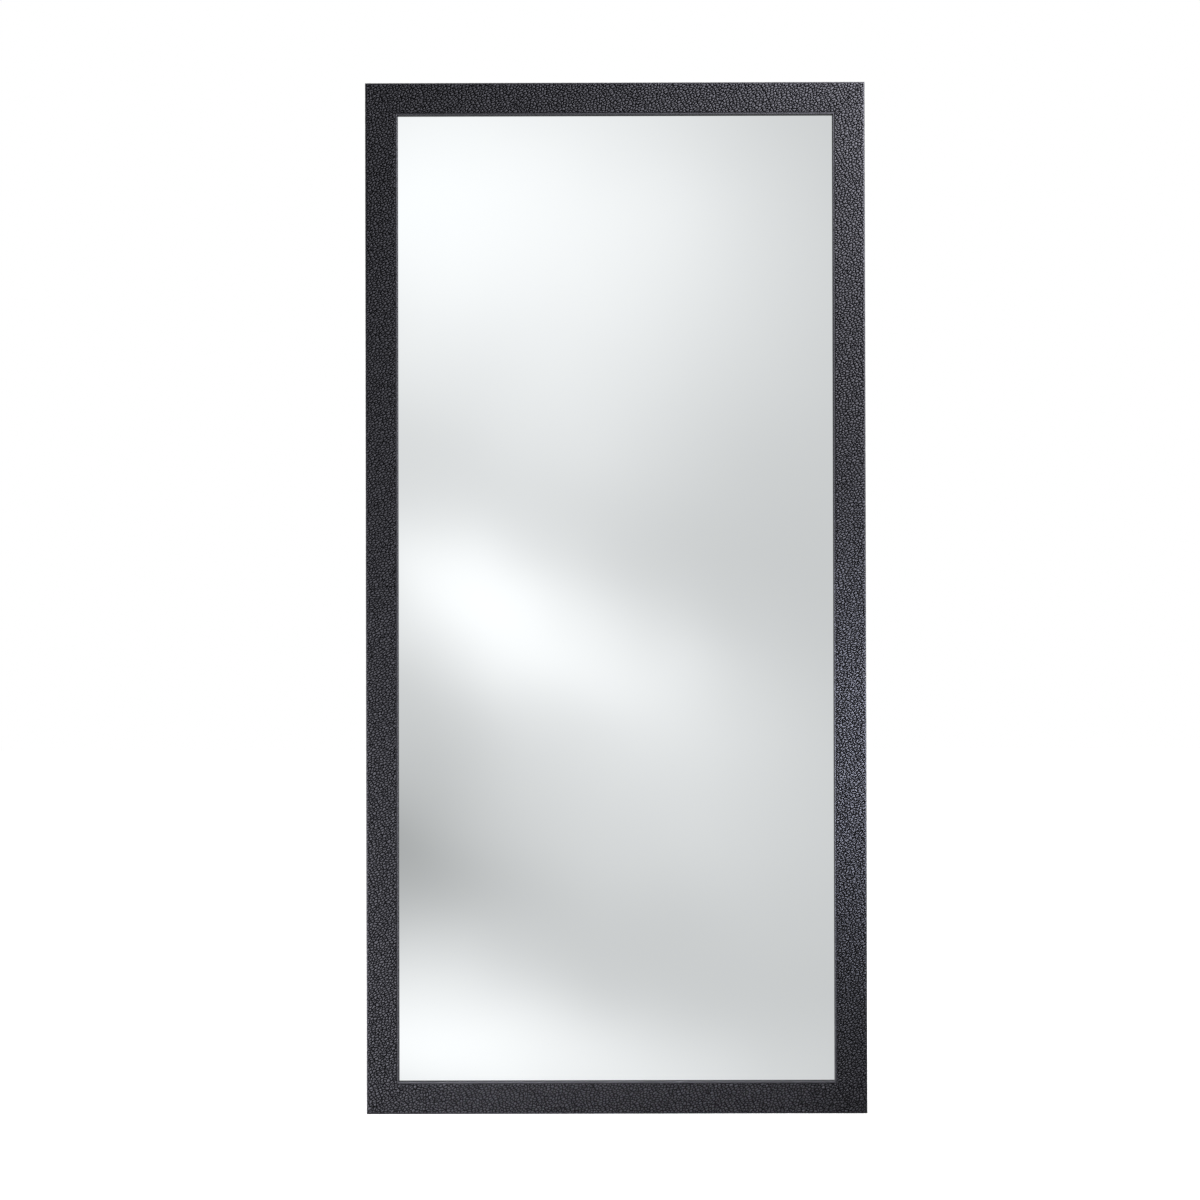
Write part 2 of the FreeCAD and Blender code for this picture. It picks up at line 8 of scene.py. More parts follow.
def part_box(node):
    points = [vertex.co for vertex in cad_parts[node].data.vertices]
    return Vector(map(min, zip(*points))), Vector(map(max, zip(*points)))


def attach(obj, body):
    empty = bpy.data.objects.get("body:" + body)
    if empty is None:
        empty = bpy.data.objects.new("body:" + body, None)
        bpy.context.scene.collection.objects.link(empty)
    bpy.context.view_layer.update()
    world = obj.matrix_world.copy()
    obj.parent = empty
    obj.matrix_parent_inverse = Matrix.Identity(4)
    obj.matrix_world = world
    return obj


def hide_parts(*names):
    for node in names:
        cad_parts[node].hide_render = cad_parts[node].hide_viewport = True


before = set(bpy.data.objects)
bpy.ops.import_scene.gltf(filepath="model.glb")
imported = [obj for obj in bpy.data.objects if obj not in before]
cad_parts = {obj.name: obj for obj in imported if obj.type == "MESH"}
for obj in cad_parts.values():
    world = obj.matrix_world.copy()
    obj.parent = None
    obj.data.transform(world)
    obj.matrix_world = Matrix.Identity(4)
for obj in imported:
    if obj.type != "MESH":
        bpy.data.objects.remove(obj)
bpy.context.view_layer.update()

bl_info = {
    "name": "Full-length mirror",
    "version": (1, 0, 0),
    "blender": (4, 5, 0),
    "location": "View3D > Sidebar > Mirror",
    "description": "Dresses the full-length mirror: grained covering, glass, backing and hangers",
    "category": "Object",
}

SQUARE = ((-1, -1), (1, -1), (1, 1), (-1, 1))
MM = 0.001

# Places read from the frame, in metres
FRAME_LOW, FRAME_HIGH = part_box("left_stile_cover")[0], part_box("right_stile_cover")[1]
HALF_WIDTH = FRAME_HIGH.x
HALF_HEIGHT = (FRAME_HIGH.z - FRAME_LOW.z) / 2
MIDDLE = (FRAME_HIGH.z + FRAME_LOW.z) / 2
COVER_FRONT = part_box("top_rail_cover")[0].y
COVER_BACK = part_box("top_rail_cover")[1].y
FACE_WIDTH = FRAME_HIGH.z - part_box("top_rail_cover")[0].z
CORE_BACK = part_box("top_rail_core")[1].y
COVER_THICKNESS = COVER_BACK - CORE_BACK
TAPE_LOW, TAPE_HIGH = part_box("glazing_tape_bottom")
FLOOR_RETURN = COVER_THICKNESS + (TAPE_HIGH.z - TAPE_LOW.z)

# Each side of the frame: half its length, its turn and its grain's turn, the middle of its outer edge
SIDES = {
    "top_rail": (HALF_WIDTH, 0, -27, (0, 0, FRAME_HIGH.z)),
    "right_stile": (HALF_HEIGHT, 90, 63, (HALF_WIDTH, 0, MIDDLE)),
    "bottom_rail": (HALF_WIDTH, 180, -27, (0, 0, FRAME_LOW.z)),
    "left_stile": (HALF_HEIGHT, 270, 63, (-HALF_WIDTH, 0, MIDDLE)),
}


class Value:
    """What a socket gives; arithmetic on it adds Math nodes to its tree."""

    def __init__(self, nodes, socket):
        self.nodes = nodes
        self.socket = socket

    def math(self, operation, *numbers):
        return self.nodes.math(operation, self, *numbers)

    def __add__(self, other):
        return self.math("ADD", other)

    def __sub__(self, other):
        return self.math("SUBTRACT", other)

    def __rsub__(self, other):
        return self.nodes.math("SUBTRACT", other, self)

    def __mul__(self, other):
        return self.math("MULTIPLY", other)

    def __truediv__(self, other):
        return self.math("DIVIDE", other)

    def __neg__(self):
        return self.math("MULTIPLY", -1.0)

    __radd__ = __add__
    __rmul__ = __mul__


class Nodes:
    """Adds nodes to one tree."""

    def __init__(self, tree):
        self.tree = tree

    def add(self, kind, settings=None, inputs=None):
        """A node of that type: its settings first, then the values or links of its sockets."""
        node = self.tree.nodes.new(kind)
        for name, setting in (settings or {}).items():
            setattr(node, name, setting)
        for name, given in (inputs or {}).items():
            self.feed(node.inputs[name], given)
        return node

    def feed(self, socket, given):
        if isinstance(given, Value):
            self.tree.links.new(given.socket, socket)
        elif isinstance(given, bpy.types.NodeSocket):
            self.tree.links.new(given, socket)
        else:
            socket.default_value = given

    def get(self, kind, output=0, settings=None, inputs=None):
        """What one output of a new node gives."""
        return Value(self, self.add(kind, settings, inputs).outputs[output])

    def math(self, operation, *numbers):
        return self.get("ShaderNodeMath", 0, {"operation": operation}, dict(enumerate(numbers)))

    def split(self, vector):
        node = self.add("ShaderNodeSeparateXYZ", inputs={0: vector})
        return [Value(self, socket) for socket in node.outputs]

    def join(self, x, y, z):
        return self.get("ShaderNodeCombineXYZ", inputs={0: x, 1: y, 2: z})

    def smooth(self, number, low, high, to_low=0.0, to_high=1.0):
        """A soft step from one value to another as the number goes from low to high."""
        settings = {"interpolation_type": "SMOOTHSTEP", "clamp": True}
        inputs = {0: number, 1: low, 2: high, 3: to_low, 4: to_high}
        return self.get("ShaderNodeMapRange", 0, settings, inputs)

    def mix(self, share, first, second):
        """A colour between two."""
        settings = {"data_type": "RGBA", "clamp_factor": True}
        return self.get("ShaderNodeMix", 2, settings, {0: share, 6: first, 7: second})

    def noise(self, where, scale, detail=2.0, roughness=0.5):
        inputs = {"Vector": where, "Scale": scale, "Detail": detail, "Roughness": roughness}
        return self.get("ShaderNodeTexNoise", inputs=inputs)


class Finish(Nodes):
    """A procedural material, written from its object coordinates."""

    def __init__(self, name, **constants):
        self.material = bpy.data.materials.new(name)
        self.material.use_nodes = True
        super().__init__(self.material.node_tree)
        self.shader = self.tree.nodes["Principled BSDF"]
        self.where = self.get("ShaderNodeTexCoord", "Object")
        for socket, given in constants.items():
            self.shader.inputs[socket.replace("_", " ")].default_value = given

    def set(self, socket, given):
        self.feed(self.shader.inputs[socket], given)

    def bump(self, height, strength, distance):
        inputs = {"Strength": strength, "Distance": distance, "Height": height}
        self.set("Normal", self.get("ShaderNodeBump", inputs=inputs))


def rgba(colour, factor=1.0):
    """A colour for a socket, made lighter or darker by a factor."""
    return (*[factor * channel for channel in colour], 1.0)


class CoveringSettings(bpy.types.PropertyGroup):
    pebble: bpy.props.FloatProperty(
        name="Pebble", description="Mean width of the grain's pebbles", default=3.6 * MM, unit="LENGTH"
    )
    stretch: bpy.props.FloatProperty(
        name="Stretch", description="How much longer than wide the pebbles are", default=1.6, min=1.0
    )
    relief: bpy.props.FloatProperty(
        name="Relief", description="Depth of the grain's creases", default=0.8 * MM, unit="LENGTH"
    )
    edge_radius: bpy.props.FloatProperty(
        name="Edge radius", description="Radius of both front edges", default=2.2 * MM, unit="LENGTH"
    )
    turned_radius: bpy.props.FloatProperty(
        name="Turned radius", description="Radius of the turned edges", default=0.8 * MM, unit="LENGTH"
    )
    back_return: bpy.props.FloatProperty(
        name="Back return", description="Width turned over on the back", default=9.0 * MM, unit="LENGTH"
    )
    lip_crease: bpy.props.FloatProperty(
        name="Lip crease", description="Crease's distance from the lip", default=2.8 * MM, unit="LENGTH"
    )
    mesh_step: bpy.props.FloatProperty(
        name="Mesh step", description="Spacing of the mesh on the face", default=1.2 * MM, unit="LENGTH"
    )
    colour: bpy.props.FloatVectorProperty(
        name="Colour", description="Tops of the pebbles", default=(0.091, 0.090, 0.105), subtype="COLOR"
    )
    # Painted shade: the creases' dark colour stands in for the shadow that fills them
    crease: bpy.props.FloatVectorProperty(
        name="Crease", description="Bottoms of the creases", default=(0.009, 0.009, 0.011), subtype="COLOR"
    )


class GlassSettings(bpy.types.PropertyGroup):
    tint: bpy.props.FloatVectorProperty(
        name="Tint", description="Colour of the reflection", default=(0.945, 0.955, 0.955), subtype="COLOR"
    )
    paint: bpy.props.FloatVectorProperty(
        name="Paint", description="Backing paint on the silver", default=(0.30, 0.32, 0.34), subtype="COLOR"
    )
    tape: bpy.props.FloatVectorProperty(
        name="Tape", description="Cushion tape and blocks", default=(0.02, 0.02, 0.021), subtype="COLOR"
    )


class BackSettings(bpy.types.PropertyGroup):
    fibreboard: bpy.props.FloatVectorProperty(
        name="Fibreboard", description="Raw moulding", default=(0.36, 0.235, 0.135), subtype="COLOR"
    )
    hardboard: bpy.props.FloatVectorProperty(
        name="Hardboard", description="Back board", default=(0.135, 0.072, 0.037), subtype="COLOR"
    )
    card: bpy.props.FloatVectorProperty(
        name="Card", description="Filler board", default=(0.40, 0.27, 0.16), subtype="COLOR"
    )
    rubber: bpy.props.FloatVectorProperty(
        name="Rubber", description="Wall bumpers", default=(0.022, 0.022, 0.023), subtype="COLOR"
    )


class HangerSettings(bpy.types.PropertyGroup):
    zinc: bpy.props.FloatVectorProperty(
        name="Zinc", description="Plated steel", default=(0.66, 0.67, 0.68), subtype="COLOR"
    )
    sheet: bpy.props.FloatProperty(
        name="Sheet", description="Thickness of the strap's sheet", default=0.97 * MM, unit="LENGTH"
    )
    strap_corner: bpy.props.FloatProperty(
        name="Strap corner", description="Radius of the tail corners", default=3.0 * MM, unit="LENGTH"
    )
    ring_corner: bpy.props.FloatProperty(
        name="Ring corner", description="Radius of the lower corners", default=3.0 * MM, unit="LENGTH"
    )
    wire: bpy.props.FloatProperty(
        name="Wire", description="Diameter of the ring's wire", default=3.0 * MM, unit="LENGTH"
    )
    seed: bpy.props.IntProperty(name="Seed", description="How the screws happen to be turned", default=4)


class StageSettings(bpy.types.PropertyGroup):
    distance: bpy.props.FloatProperty(
        name="Distance", description="Camera to the front of the frame", default=5.0, unit="LENGTH"
    )
    view_width: bpy.props.FloatProperty(
        name="View width", description="Width of the picture at the frame", default=1.9492, unit="LENGTH"
    )
    tilt: bpy.props.FloatProperty(
        name="Tilt", description="Camera turned up by", default=math.radians(0.42), subtype="ANGLE"
    )
    pan: bpy.props.FloatProperty(
        name="Pan", description="Camera turned left by", default=math.radians(0.18), subtype="ANGLE"
    )
    roll: bpy.props.FloatProperty(
        name="Roll",
        description="Camera turned about its axis",
        default=math.radians(-0.13),
        subtype="ANGLE",
    )
    ambient: bpy.props.FloatProperty(
        name="Ambient", description="Light from all round", default=0.055, min=0.0
    )
    surround: bpy.props.FloatProperty(
        name="Surround", description="Brightness of the sides beside the front", default=0.25, min=0.0
    )
    key: bpy.props.FloatProperty(
        name="Key", description="Power of the upper right lamp", default=45.0, subtype="POWER"
    )
    side: bpy.props.FloatProperty(
        name="Side", description="Power of the lower right lamp", default=2.25, subtype="POWER"
    )
    fill: bpy.props.FloatProperty(
        name="Fill", description="Power of the lower left lamp", default=16.5, subtype="POWER"
    )
    overhead: bpy.props.FloatProperty(
        name="Overhead", description="Power of the strip lamp above", default=0.24, subtype="POWER"
    )
    rear: bpy.props.FloatProperty(
        name="Rear", description="Power of each lamp behind", default=24.0, subtype="POWER"
    )


GROUPS = {
    "mirror_covering": CoveringSettings,
    "mirror_glass": GlassSettings,
    "mirror_back": BackSettings,
    "mirror_hangers": HangerSettings,
    "mirror_stage": StageSettings,
}


def new_object(name, data):
    made = bpy.data.objects.new(name, data)
    bpy.context.scene.collection.objects.link(made)
    return made


def mesh_from(name, points, faces):
    mesh = bpy.data.meshes.new(name)
    mesh.from_pydata([tuple(point) for point in points], [], faces)
    mesh.update()
    return mesh


def closed_curve(name, dimensions, points):
    """A closed curve of straight runs between points."""
    curve = bpy.data.curves.new(name, "CURVE")
    curve.dimensions = dimensions
    spline = curve.splines.new("POLY")
    spline.points.add(len(points) - 1)
    for point, place in zip(spline.points, points):
        point.co = (*place, 1)
    spline.use_cyclic_u = True
    return new_object(name, curve)


def evaluated(made):
    """An object's mesh with its modifiers applied."""
    view = bpy.context.evaluated_depsgraph_get()
    return bpy.data.meshes.new_from_object(made.evaluated_get(view))


def geometry_tree(name, inputs):
    """An empty geometry tree with inputs, named by kind, and a material, and the values of all of them."""
    tree = bpy.data.node_groups.new(name, "GeometryNodeTree")
    tree.interface.new_socket(name="Geometry", in_out="OUTPUT", socket_type="NodeSocketGeometry")
    for kind, labels in {**inputs, "Material": ["Material"]}.items():
        for label in labels:
            tree.interface.new_socket(name=label, in_out="INPUT", socket_type=f"NodeSocket{kind}")
    nodes = Nodes(tree)
    given = nodes.add("NodeGroupInput")
    return nodes, {socket.name: Value(nodes, socket) for socket in given.outputs}


def close_tree(nodes, shape, material):
    """Ends a geometry tree: real geometry, with its material."""
    real = nodes.get("GeometryNodeRealizeInstances", inputs={"Geometry": shape})
    painted = nodes.get("GeometryNodeSetMaterial", inputs={"Geometry": real, "Material": material})
    nodes.add("NodeGroupOutput", inputs={0: painted})


def bake(name, nodes, inputs):
    """Runs a geometry tree once and keeps the result as a plain mesh."""
    made = new_object(name, bpy.data.meshes.new(name))
    modifier = made.modifiers.new("shape", "NODES")
    modifier.node_group = nodes.tree
    for item in nodes.tree.interface.items_tree:
        if item.in_out == "INPUT":
            modifier[item.identifier] = inputs[item.name]
    result = evaluated(made)
    if not result.polygons:
        raise RuntimeError(f"{name}: its geometry tree gave no faces")
    made.modifiers.clear()
    made.data = result
    result.name = name
    return made


def clean(mesh, sharp_degrees):
    """Points all faces outwards and shades the mesh smooth but for its sharp edges."""
    work = bmesh.new()
    work.from_mesh(mesh)
    bmesh.ops.recalc_face_normals(work, faces=work.faces)
    work.to_mesh(mesh)
    work.free()
    mesh.shade_smooth()
    mesh.set_sharp_from_angle(angle=math.radians(sharp_degrees))


def settle(piece, body, slot, *nodes):
    """Hands a finished piece to the frame."""
    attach(piece, body)
    if nodes:
        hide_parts(*nodes)


def paint(finish, *nodes):
    """Gives CAD nodes a finish."""
    for name in nodes:
        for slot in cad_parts[name].material_slots:
            slot.material = finish.material


def arc(centre, radius, start, end, steps):
    """Points of an arc from one angle to another, in degrees, both ends included."""
    points = []
    for number in range(steps + 1):
        angle = math.radians(start + (end - start) * number / steps)
        points.append((centre[0] + radius * math.cos(angle), centre[1] + radius * math.sin(angle)))
    return points


def run(start, end, step):
    """Points between two corners, neither included, about one step apart."""
    count = max(1, round(math.dist(start, end) / step))
    return [tuple(a + (b - a) * number / count for a, b in zip(start, end)) for number in range(1, count)]


# Mesh spacing on the covering's sides and returns, in steps of the face's
SIDE_STEPS = 3.4
# Width of the finer mesh along the lip, in edge radii
LIP_ZONE = 2.5


def covering_section(s):
    """The covering's closed section as (depth, height) pairs: outside from back to lip, then inside."""
    thick = COVER_THICKNESS
    front, back, floor = COVER_FRONT, COVER_BACK, TAPE_LOW.y
    round_, turn = s.edge_radius, s.turned_radius
    inner = round_ - thick
    side_step = SIDE_STEPS * s.mesh_step
    lip_zone = (front, LIP_ZONE * round_ - FACE_WIDTH)
    corners = [
        [(back, -s.back_return)],
        arc((back - turn, -turn), turn, 0, 90, 2),
        arc((front + round_, -round_), round_, 90, 180, 4),
        [lip_zone],
        arc((front + round_, round_ - FACE_WIDTH), round_, 180, 270, 4),
        arc((floor - turn, turn - FACE_WIDTH), turn, 270, 360, 2),
        [(floor, FLOOR_RETURN - FACE_WIDTH)],
        [(floor - thick, FLOOR_RETURN - FACE_WIDTH)],
        [(floor - thick, thick - FACE_WIDTH)],
        arc((front + round_, round_ - FACE_WIDTH), inner, 270, 180, 2),
        arc((front + round_, -round_), inner, 180, 90, 2),
        [(back - thick, -thick)],
        [(back - thick, -s.back_return)],
    ]
    steps = dict(enumerate((side_step, side_step, s.mesh_step, s.mesh_step / 2, side_step, side_step)))
    points = []
    for number, corner in enumerate(corners):
        points.extend(corner)
        if number in steps:
            points.extend(run(corner[-1], corners[number + 1][0], steps[number]))
    return points


# What a pebble's height is made of
DOME_SHARE = 0.68
TILT_SHARE = 0.35
ROUGH_SHARE = 0.15
FOLD_SHARE = 0.08
# How irregular the pebbles are, from 0 to 1
IRREGULAR = 0.85
# Width of a pebble's slope and of a fold's, and how close together the folds are, in pebbles
SLOPE_WIDTH = 0.36
FOLD_WIDTH = 0.05
FOLD_SCALE = 0.15


def pebble_height(nodes, where):
    """Height of the grain from 0 to 1: rounded pebbles, each a little tilted, and a few longer folds."""
    edges = {"voronoi_dimensions": "2D", "feature": "DISTANCE_TO_EDGE"}
    even = {"Vector": where, "Scale": 1.0, "Randomness": IRREGULAR}
    edge = nodes.get("ShaderNodeTexVoronoi", "Distance", edges, even)
    cell = nodes.add("ShaderNodeTexVoronoi", {**edges, "feature": "F1"}, even)
    chance = nodes.split(cell.outputs["Color"])
    here = nodes.split(where)
    centre = nodes.split(cell.outputs["Position"])
    tilt = (here[0] - centre[0]) * (chance[0] - 0.5) + (here[1] - centre[1]) * (chance[1] - 0.5)
    wrinkle = nodes.get("ShaderNodeTexVoronoi", "Distance", edges, {"Vector": where, "Scale": FOLD_SCALE})
    slope = 1.0 - nodes.math("MINIMUM", edge / SLOPE_WIDTH, 1.0)
    dome = 1.0 - slope * slope
    rough = nodes.noise(where, 1.6, 1.0)
    fold = nodes.smooth(wrinkle, 0.0, FOLD_WIDTH)
    return dome * DOME_SHARE + tilt * TILT_SHARE + rough * ROUGH_SHARE + fold * FOLD_SHARE


# How far the pebbles are pushed out of their rows, in pebbles
GRAIN_PUSH = (0.9, 0.9, 0.0)
# Where the grain fades in, from the outer edge and from the crease along the lip
EDGE_FADE = (0.8 * MM, 3.0 * MM)
CREASE_FADE = (0.0, 1.2 * MM)
# Share of the grain left along the edges, and on the outer side and the back
EDGE_GRAIN = 0.05
SIDE_GRAIN = 0.4
# The crease along the lip, pressed in and also darkened with painted shade
CREASE_WIDTH = 0.6 * MM
CREASE_DEPTH = 0.55 * MM
# Depths behind the face between which painted shade darkens the lip
REVEAL_DEPTHS = (1.4 * MM, 2.4 * MM)
# The painted shade along the outer arris: across the edge, behind the face, and its strength
ARRIS_WIDTHS = (-1.8 * MM, -0.4 * MM)
ARRIS_DEPTHS = (4.0 * MM, 2.0 * MM)
ARRIS_SHADE = 0.8


def from_front(depths):
    """Depths behind the covering's face, as places on Y."""
    return [COVER_FRONT + depth for depth in depths]


def stored(nodes, shape, name, value, kind="FLOAT"):
    """A shape with one more named attribute on its points."""
    settings = {"data_type": kind, "domain": "POINT"}
    inputs = {"Geometry": shape, "Name": name, "Value": value}
    return nodes.get("GeometryNodeStoreNamedAttribute", 0, settings, inputs)


def covering_tree():
    """Sweeps the section along one side, mitres both ends and presses the pebble grain into it."""
    nodes, given = geometry_tree("pebbled covering", {
        "Object": ["Section"],
        "Float": ["Half length", "Pebble", "Stretch", "Relief", "Lip crease", "Grain shift", "Grain turn"],
        "Int": ["Rows"],
        "Rotation": ["Turn"],
        "Vector": ["Place"],
    })
    half = given["Half length"]
    line = nodes.get("GeometryNodeCurvePrimitiveLine", inputs={
        "Start": nodes.join(-half, 0.0, 0.0),
        "End": nodes.join(half, 0.0, 0.0),
    })
    spine = nodes.get("GeometryNodeResampleCurve", inputs={"Curve": line, "Count": given["Rows"]})
    section = nodes.get("GeometryNodeObjectInfo", "Geometry", inputs={"Object": given["Section"]})
    travelled = nodes.get("GeometryNodeSplineParameter", "Length")
    unrolled = stored(nodes, section, "across", travelled)
    swept = nodes.get("GeometryNodeCurveToMesh", inputs={
        "Curve": spine,
        "Profile Curve": unrolled,
        "Fill Caps": True,
    })
    x, y, z = nodes.split(nodes.get("GeometryNodeInputPosition"))
    mitred = nodes.get("GeometryNodeSetPosition", inputs={
        "Geometry": swept,
        "Position": nodes.join(x * (half + z) / half, y, z),
    })

    along = nodes.split(nodes.get("GeometryNodeInputPosition"))[0]
    across = nodes.get("GeometryNodeInputNamedAttribute", 0, {"data_type": "FLOAT"}, {"Name": "across"})
    pebble = given["Pebble"]
    slant_along = nodes.math("COSINE", given["Grain turn"])
    slant_across = nodes.math("SINE", given["Grain turn"])
    lengthwise = (along * slant_along + across * slant_across) / given["Stretch"]
    where = nodes.join(
        lengthwise / pebble + given["Grain shift"],
        (across * slant_along - along * slant_across) / pebble,
        0.0,
    )
    drift = nodes.get("ShaderNodeTexNoise", "Color", inputs={"Vector": where, "Scale": 0.4, "Detail": 1.5})
    shift = {0: drift, 1: GRAIN_PUSH, 2: where}
    pushed = nodes.get("ShaderNodeVectorMath", 0, {"operation": "MULTIPLY_ADD"}, shift)
    grain = pebble_height(nodes, pushed)
    mapped = stored(nodes, mitred, "grain_place", pushed, "FLOAT_VECTOR")
    x, y, z = nodes.split(nodes.get("GeometryNodeInputPosition"))
    begins, full = 0.8 * COVER_THICKNESS, 0.1 * COVER_THICKNESS
    face = nodes.smooth(y, *from_front((begins, full)))
    outside = nodes.smooth(z, -begins, -full)
    lip = nodes.smooth(z, begins - FACE_WIDTH, full - FACE_WIDTH)
    back = nodes.smooth(y, COVER_BACK - begins, COVER_BACK - full)
    sides = nodes.math("MAXIMUM", nodes.math("MAXIMUM", outside, lip), back)
    from_lip = z + FACE_WIDTH
    crease_at = given["Lip crease"]
    inland = nodes.smooth(-z, *EDGE_FADE) * nodes.smooth(from_lip - crease_at, *CREASE_FADE)
    on_face = face * (inland * (1.0 - EDGE_GRAIN) + EDGE_GRAIN)
    strength = nodes.math("MAXIMUM", on_face, (sides - lip) * SIDE_GRAIN)
    # The lip's crease is pressed into the covering and also darkened with painted shade
    off = (from_lip - crease_at) / CREASE_WIDTH
    crease = nodes.math("EXPONENT", -(off * off)) * face
    # Painted shade on the lip's reveal, the recess beside the glass
    painted_reveal_shade = lip * nodes.smooth(y, *from_front(REVEAL_DEPTHS))
    # Painted shade along the outer arris
    painted_arris_shade = nodes.smooth(z, *ARRIS_WIDTHS) * nodes.smooth(y, *from_front(ARRIS_DEPTHS)) * ARRIS_SHADE
    graded = stored(nodes, mapped, "grain_strength", strength)
    # The painted shade of the lip's crease, its reveal and the outer arris, kept on the points
    painted_shade = nodes.math("MAXIMUM", nodes.math("MAXIMUM", crease, painted_reveal_shade), painted_arris_shade)
    marked = stored(nodes, graded, "lip_shade", painted_shade)
    depth = given["Relief"] * strength * (grain - 1.0) - crease * CREASE_DEPTH
    normal = nodes.get("GeometryNodeInputNormal")
    moved = nodes.get("ShaderNodeVectorMath", 0, {"operation": "SCALE"}, {0: normal, "Scale": depth})
    pressed = nodes.get("GeometryNodeSetPosition", inputs={"Geometry": marked, "Offset": moved})
    placed = nodes.get("GeometryNodeTransform", inputs={
        "Geometry": pressed,
        "Translation": given["Place"],
        "Rotation": given["Turn"],
    })
    close_tree(nodes, placed, given["Material"])
    return nodes


# Grain heights between which a crease turns into a pebble's top
TOP_RANGE = (0.45, 0.85)
# Height that the bump of a whole pebble stands for
GRAIN_BUMP = 3.0 * MM


def covering_finish(s):
    """Charcoal leatherette: creases and edges darkened with painted shade, satin tops and fine pores."""
    f = Finish("pebbled_covering", Specular_IOR_Level=0.15, Coat_Roughness=0.3)
    place = f.get("ShaderNodeAttribute", "Vector", {"attribute_name": "grain_place"})
    strength = f.get("ShaderNodeAttribute", "Fac", {"attribute_name": "grain_strength"})
    painted_shade = f.get("ShaderNodeAttribute", "Fac", {"attribute_name": "lip_shade"})
    grain = pebble_height(f, place)
    cloud = f.noise(f.where, 9.0, 3.0)
    pores = f.noise(place, 6.0, 2.0, 0.6)
    top = 1.0 - strength * (1.0 - f.smooth(grain, *TOP_RANGE))
    # Painted shade: the creases between the pebbles take the dark crease colour
    tone = f.mix(top, rgba(s.crease), rgba(s.colour))
    tone = f.mix(f.smooth(cloud, 0.35, 0.75) * top * 0.25, tone, rgba(s.colour, 1.2))
    # Painted shade: the lip's crease, its reveal and the outer arris take the crease colour
    f.set("Base Color", f.mix(painted_shade, tone, rgba(s.crease)))
    f.set("Roughness", 0.62 - top * 0.15 + (cloud - 0.5) * 0.1 + (pores - 0.5) * 0.1)
    f.set("Coat Weight", top * (1.0 - painted_shade) * (0.4 - cloud * 0.2))
    f.bump((grain + pores * 0.08) * strength, 1.0, GRAIN_BUMP)
    return f


# Spacing of the mesh along a side, in steps of the face's
ROW_STEPS = 1.08
# How far apart the grains of two sides are taken from, in pebbles
GRAIN_SHIFT = 400.0


class MIRROR_OT_covering(bpy.types.Operator):
    """Makes the grained covering of all four sides, in place of the plain one"""

    bl_idname = "mirror.covering"
    bl_label = "Make the covering"

    def execute(self, context):
        s = context.scene.mirror_covering
        outline = [(-depth, -height, 0) for depth, height in covering_section(s)]
        section = closed_curve("covering_section", "2D", outline)
        tree = covering_tree()
        shared = {"Section": section, "Material": covering_finish(s).material, "Lip crease": s.lip_crease}
        shared |= {"Pebble": s.pebble, "Stretch": s.stretch, "Relief": s.relief}
        for number, (side, (half, turn, grain_turn, place)) in enumerate(SIDES.items()):
            piece = bake(f"{side}_covering", tree, {
                **shared,
                "Half length": half,
                "Rows": round(2 * half / (ROW_STEPS * s.mesh_step)) + 1,
                "Grain shift": GRAIN_SHIFT * number,
                "Grain turn": math.radians(grain_turn),
                "Turn": (0, math.radians(turn), 0),
                "Place": place,
            })
            piece.data.shade_smooth()
            piece.data.set_sharp_from_angle(angle=math.radians(60))
            settle(piece, "frame", "cover", f"{side}_cover")
        bpy.data.objects.remove(section)
        return {"FINISHED"}


def fibreboard_finish(s):
    """Raw fibreboard: fine fibres and faint darker clouds."""
    f = Finish("fibreboard")
    fibres = f.noise(f.where, 420.0, 4.0, 0.65)
    cloud = f.noise(f.where, 14.0, 3.0)
    tone = f.mix(fibres, rgba(s.fibreboard, 0.72), rgba(s.fibreboard, 1.22))
    f.set("Base Color", f.mix(f.smooth(cloud, 0.3, 0.8) * 0.3, tone, rgba(s.fibreboard, 0.8)))
    f.set("Roughness", 0.8 + fibres * 0.15)
    f.bump(fibres, 0.4, 0.2 * MM)
    return f


class MIRROR_OT_moulding(bpy.types.Operator):
    """Finishes the four mitred mouldings under the covering"""

    bl_idname = "mirror.moulding"
    bl_label = "Finish the moulding"

    def execute(self, context):
        paint(fibreboard_finish(context.scene.mirror_back), *[f"{side}_core" for side in SIDES])
        return {"FINISHED"}


def mirror_finish(s):
    """Silvered glass: a clear mirror, a little green, with the faintest haze."""
    f = Finish("silvered_glass", Metallic=1.0)
    haze = f.noise(f.where, 3.0, 3.0)
    f.set("Base Color", f.mix(haze, rgba(s.tint), rgba(s.tint, 0.985)))
    f.set("Roughness", haze * 0.012 + 0.004)
    return f


def paint_finish(s):
    """Grey backing paint over the silver, a little uneven."""
    f = Finish("backing_paint", Roughness=0.6)
    cloud = f.noise(f.where, 30.0, 3.0)
    f.set("Base Color", f.mix(cloud, rgba(s.paint), rgba(s.paint, 0.8)))
    f.bump(f.noise(f.where, 500.0), 0.2, 0.1 * MM)
    return f


def foam_finish(s):
    """Black closed-cell foam tape and rubber blocks."""
    f = Finish("foam_tape")
    cells = f.noise(f.where, 1600.0, 3.0)
    f.set("Base Color", f.mix(cells, rgba(s.tape), rgba(s.tape, 1.6)))
    f.set("Roughness", 0.75 + cells * 0.2)
    f.bump(cells, 0.4, 0.1 * MM)
    return f


class MIRROR_OT_glazing(bpy.types.Operator):
    """Finishes the silvered glass, its backing paint, tape, blocks and spacers"""

    bl_idname = "mirror.glazing"
    bl_label = "Finish the glazing"

    def execute(self, context):
        s = context.scene.mirror_glass
        paint(mirror_finish(s), "mirror_glass")
        paint(paint_finish(s), "mirror_silvering")
        tapes = [f"glazing_tape_{side}" for side in ("top", "bottom", "left", "right")]
        paint(foam_finish(s), "setting_blocks", "edge_spacers", *tapes)
        return {"FINISHED"}


